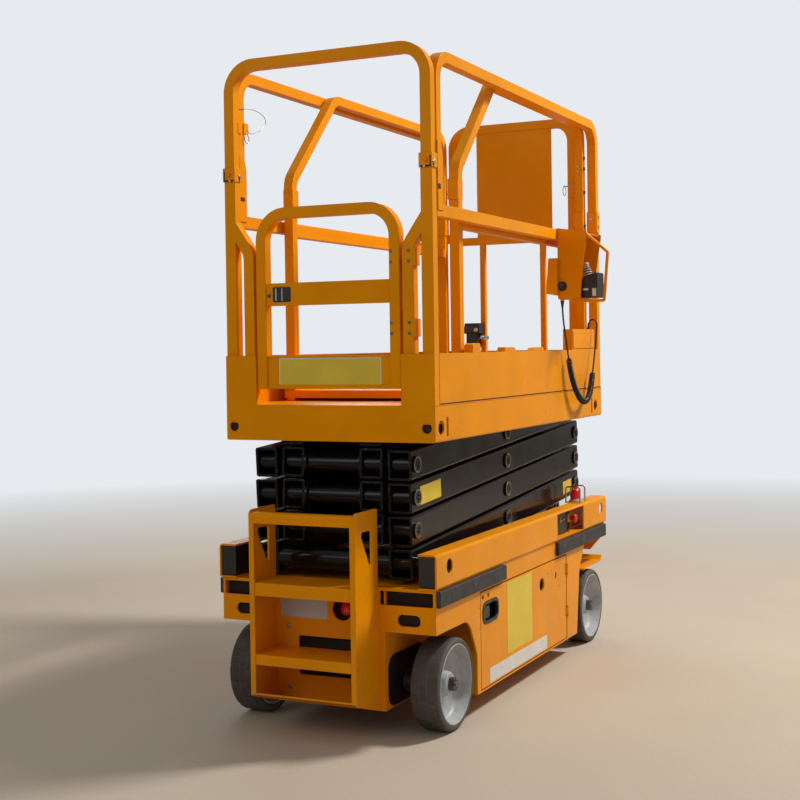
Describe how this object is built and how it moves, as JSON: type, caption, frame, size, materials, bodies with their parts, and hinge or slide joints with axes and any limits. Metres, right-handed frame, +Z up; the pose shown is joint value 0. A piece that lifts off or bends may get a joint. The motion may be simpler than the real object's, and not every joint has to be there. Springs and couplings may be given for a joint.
{
  "type": "scissor lift",
  "caption": "Electric slab scissor lift, lowered, with folding guard rails, sliding platform extension, entry gate and swing-out trays.",
  "frame": {"origin": "on the floor, midway between the two sides and midway between the axles", "axes": "+X to the machine's right, +Y towards the steered wheels, +Z up"},
  "size_m": [0.9957, 1.95, 2.215],
  "materials": {
    "yellow": "satin",
    "black": "satin",
    "grey": "satin",
    "steel": "brushed",
    "tyre": "matte",
    "rubber": "matte",
    "plastic": "matte",
    "lamp": "gloss"
  },
  "bodies": {
    "chassis": {"channel_rails": "yellow", "base_frame": "yellow", "rubber_bumpers": "rubber", "rear_ladder": "yellow", "warning_lamps": "lamp", "ground_controls": "plastic", "rear_axle": "grey", "front_axle": "grey"},
    "tray_left": {"door_left": "yellow", "battery_block": "plastic"},
    "tray_right": {"door_right": "yellow", "hydraulic_unit": "grey"},
    "slider_lower": {"lower_sliders": "plastic"},
    "slider_upper": {"upper_sliders": "plastic"},
    "barrel": {"lift_barrel": "black"},
    "rod": {"lift_rod": "steel"},
    "platform": {"platform_frame": "yellow", "rear_rail": "yellow", "side_rails": "yellow", "control_carrier": "yellow", "control_box": "plastic", "cable_leads": "plastic", "cable_curl": "plastic"},
    "gate": {"entry_gate": "yellow"},
    "extension": {"extension_deck": "yellow", "extension_rails": "yellow", "outlet_box": "plastic"},
    "steer_left": {"knuckle_left": "grey"},
    "steer_right": {"knuckle_right": "grey"},
    "inner_1": {"inner_arms_1": "black"},
    "outer_1": {"outer_arms_1": "black"},
    "inner_2": {"inner_arms_2": "black"},
    "outer_2": {"outer_arms_2": "black"},
    "inner_3": {"inner_arms_3": "black"},
    "outer_3": {"outer_arms_3": "black"},
    "inner_4": {"inner_arms_4": "black"},
    "outer_4": {"outer_arms_4": "black"},
    "wheel_rear_left": {"tyre_rear_left": "tyre", "rim_rear_left": "grey"},
    "wheel_rear_right": {"tyre_rear_right": "tyre", "rim_rear_right": "grey"},
    "wheel_front_left": {"tyre_front_left": "tyre", "rim_front_left": "grey"},
    "wheel_front_right": {"tyre_front_right": "tyre", "rim_front_right": "grey"}
  },
  "joints": [
    {"name": "lift", "type": "hinge", "parent": "chassis", "child": "inner_1", "pos_m": [0, 0.82, 0.548], "axis": [-1, 0, 0], "range_deg": [0, 52.5]},
    {"name": "cross_1", "type": "hinge", "parent": "inner_1", "child": "outer_1", "pos_m": [0, 0.00973, 0.601], "axis": [1, 0, 0], "range_deg": [0, 105]},
    {"name": "fold_2", "type": "hinge", "parent": "outer_1", "child": "inner_2", "pos_m": [0, 0.82, 0.654], "axis": [-1, 0, 0], "range_deg": [0, 105]},
    {"name": "cross_2", "type": "hinge", "parent": "inner_2", "child": "outer_2", "pos_m": [0, 0.00973, 0.707], "axis": [1, 0, 0], "range_deg": [0, 105]},
    {"name": "fold_3", "type": "hinge", "parent": "outer_2", "child": "inner_3", "pos_m": [0, 0.82, 0.76], "axis": [-1, 0, 0], "range_deg": [0, 105]},
    {"name": "cross_3", "type": "hinge", "parent": "inner_3", "child": "outer_3", "pos_m": [0, 0.00973, 0.813], "axis": [1, 0, 0], "range_deg": [0, 105]},
    {"name": "fold_4", "type": "hinge", "parent": "outer_3", "child": "inner_4", "pos_m": [0, 0.82, 0.866], "axis": [-1, 0, 0], "range_deg": [0, 105]},
    {"name": "cross_4", "type": "hinge", "parent": "inner_4", "child": "outer_4", "pos_m": [0, 0.00973, 0.919], "axis": [1, 0, 0], "range_deg": [0, 105]},
    {"name": "platform_level", "type": "hinge", "parent": "outer_4", "child": "platform", "pos_m": [0, 0.82, 0.972], "axis": [-1, 0, 0], "range_deg": [0, 52.5]},
    {"name": "slider_lower_level", "type": "hinge", "parent": "outer_1", "child": "slider_lower", "pos_m": [0, -0.80054, 0.548], "axis": [-1, 0, 0], "range_deg": [0, 52.5]},
    {"name": "slider_upper_level", "type": "hinge", "parent": "inner_4", "child": "slider_upper", "pos_m": [0, -0.80054, 0.972], "axis": [1, 0, 0], "range_deg": [0, 52.5]},
    {"name": "cylinder_foot", "type": "hinge", "parent": "chassis", "child": "barrel", "pos_m": [0, 0.3, 0.522], "axis": [-1, 0, 0], "range_deg": [0, 68.77]},
    {"name": "rod_stroke", "type": "slide", "parent": "barrel", "child": "rod", "axis": [0, -0.9891, 0.1471], "range_m": [0, 0.334]},
    {"name": "extension_slide", "type": "slide", "parent": "platform", "child": "extension", "axis": [0, 1, 0], "range_m": [0, 0.9]},
    {"name": "gate_swing", "type": "hinge", "parent": "platform", "child": "gate", "pos_m": [0.278, -0.804, 1.4], "axis": [0, 0, -1], "range_deg": [0, 90]},
    {"name": "tray_left_swing", "type": "hinge", "parent": "chassis", "child": "tray_left", "pos_m": [-0.392, 0.381, 0.25], "axis": [0, 0, -1], "range_deg": [0, 90]},
    {"name": "tray_right_swing", "type": "hinge", "parent": "chassis", "child": "tray_right", "pos_m": [0.392, 0.381, 0.25], "axis": [0, 0, 1], "range_deg": [0, 90]},
    {"name": "steer", "type": "hinge", "parent": "chassis", "child": "steer_left", "pos_m": [-0.256, 0.725, 0.15], "axis": [0, 0, 1], "range_deg": [-50, 50]},
    {"name": "steer_right_follow", "type": "hinge", "parent": "chassis", "child": "steer_right", "pos_m": [0.256, 0.725, 0.15], "axis": [0, 0, 1], "range_deg": [-50, 50]},
    {"name": "spin_rear_left", "type": "hinge", "parent": "chassis", "child": "wheel_rear_left", "pos_m": [-0.336, -0.725, 0.15], "axis": [1, 0, 0], "continuous": true},
    {"name": "spin_rear_right", "type": "hinge", "parent": "chassis", "child": "wheel_rear_right", "pos_m": [0.336, -0.725, 0.15], "axis": [1, 0, 0], "continuous": true},
    {"name": "spin_front_left", "type": "hinge", "parent": "steer_left", "child": "wheel_front_left", "pos_m": [-0.336, 0.725, 0.15], "axis": [1, 0, 0], "continuous": true},
    {"name": "spin_front_right", "type": "hinge", "parent": "steer_right", "child": "wheel_front_right", "pos_m": [0.336, 0.725, 0.15], "axis": [1, 0, 0], "continuous": true}
  ],
  "couplings": [
    {"joint": "cross_1", "follows": "lift", "ratio": 2},
    {"joint": "fold_2", "follows": "lift", "ratio": 2},
    {"joint": "cross_2", "follows": "lift", "ratio": 2},
    {"joint": "fold_3", "follows": "lift", "ratio": 2},
    {"joint": "cross_3", "follows": "lift", "ratio": 2},
    {"joint": "fold_4", "follows": "lift", "ratio": 2},
    {"joint": "cross_4", "follows": "lift", "ratio": 2},
    {"joint": "platform_level", "follows": "lift", "ratio": 1},
    {"joint": "slider_lower_level", "follows": "lift", "ratio": 1},
    {"joint": "slider_upper_level", "follows": "lift", "ratio": 1},
    {"joint": "cylinder_foot", "follows": "lift", "ratio": 1.3096},
    {"joint": "rod_stroke", "follows": "lift", "m_per_rad": 0.36338},
    {"joint": "steer_right_follow", "follows": "steer", "ratio": 1}
  ]
}
